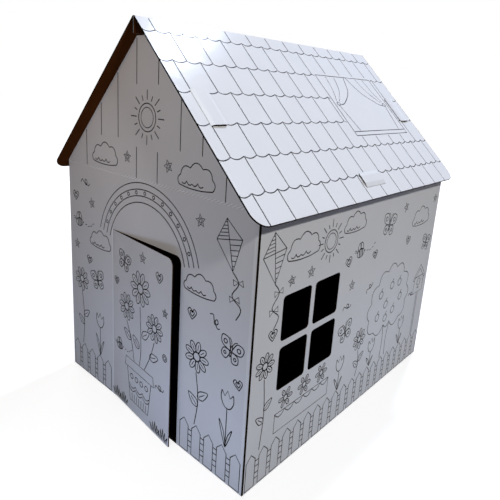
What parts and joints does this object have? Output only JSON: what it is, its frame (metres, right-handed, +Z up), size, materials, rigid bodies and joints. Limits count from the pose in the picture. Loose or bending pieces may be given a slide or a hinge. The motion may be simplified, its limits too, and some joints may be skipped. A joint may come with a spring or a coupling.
{
  "type": "cardboard playhouse",
  "caption": "Play house folded from white corrugated sheets: gabled walls, a door flap that swings, a paned window and a pitched roof held by folded lock tabs.",
  "frame": {"origin": "middle of the footprint, on the floor", "axes": "+X to the right across the front, +Y from the door wall to the back wall, +Z up"},
  "size_m": [0.768, 0.973, 1.0041],
  "materials": {
    "white_board": "matt white outside, brown kraft inside"
  },
  "bodies": {
    "house": {"front_left_wall": "white_board", "right_back_wall": "white_board", "roof_right": "white_board", "roof_left": "white_board"},
    "door": {"door": "white_board"}
  },
  "joints": [
    {"name": "door_swing", "type": "hinge", "parent": "house", "child": "door", "pos_m": [-0.138, -0.4525, 0.245], "axis": [0, 0, -1], "range_deg": [-5, 165]}
  ]
}
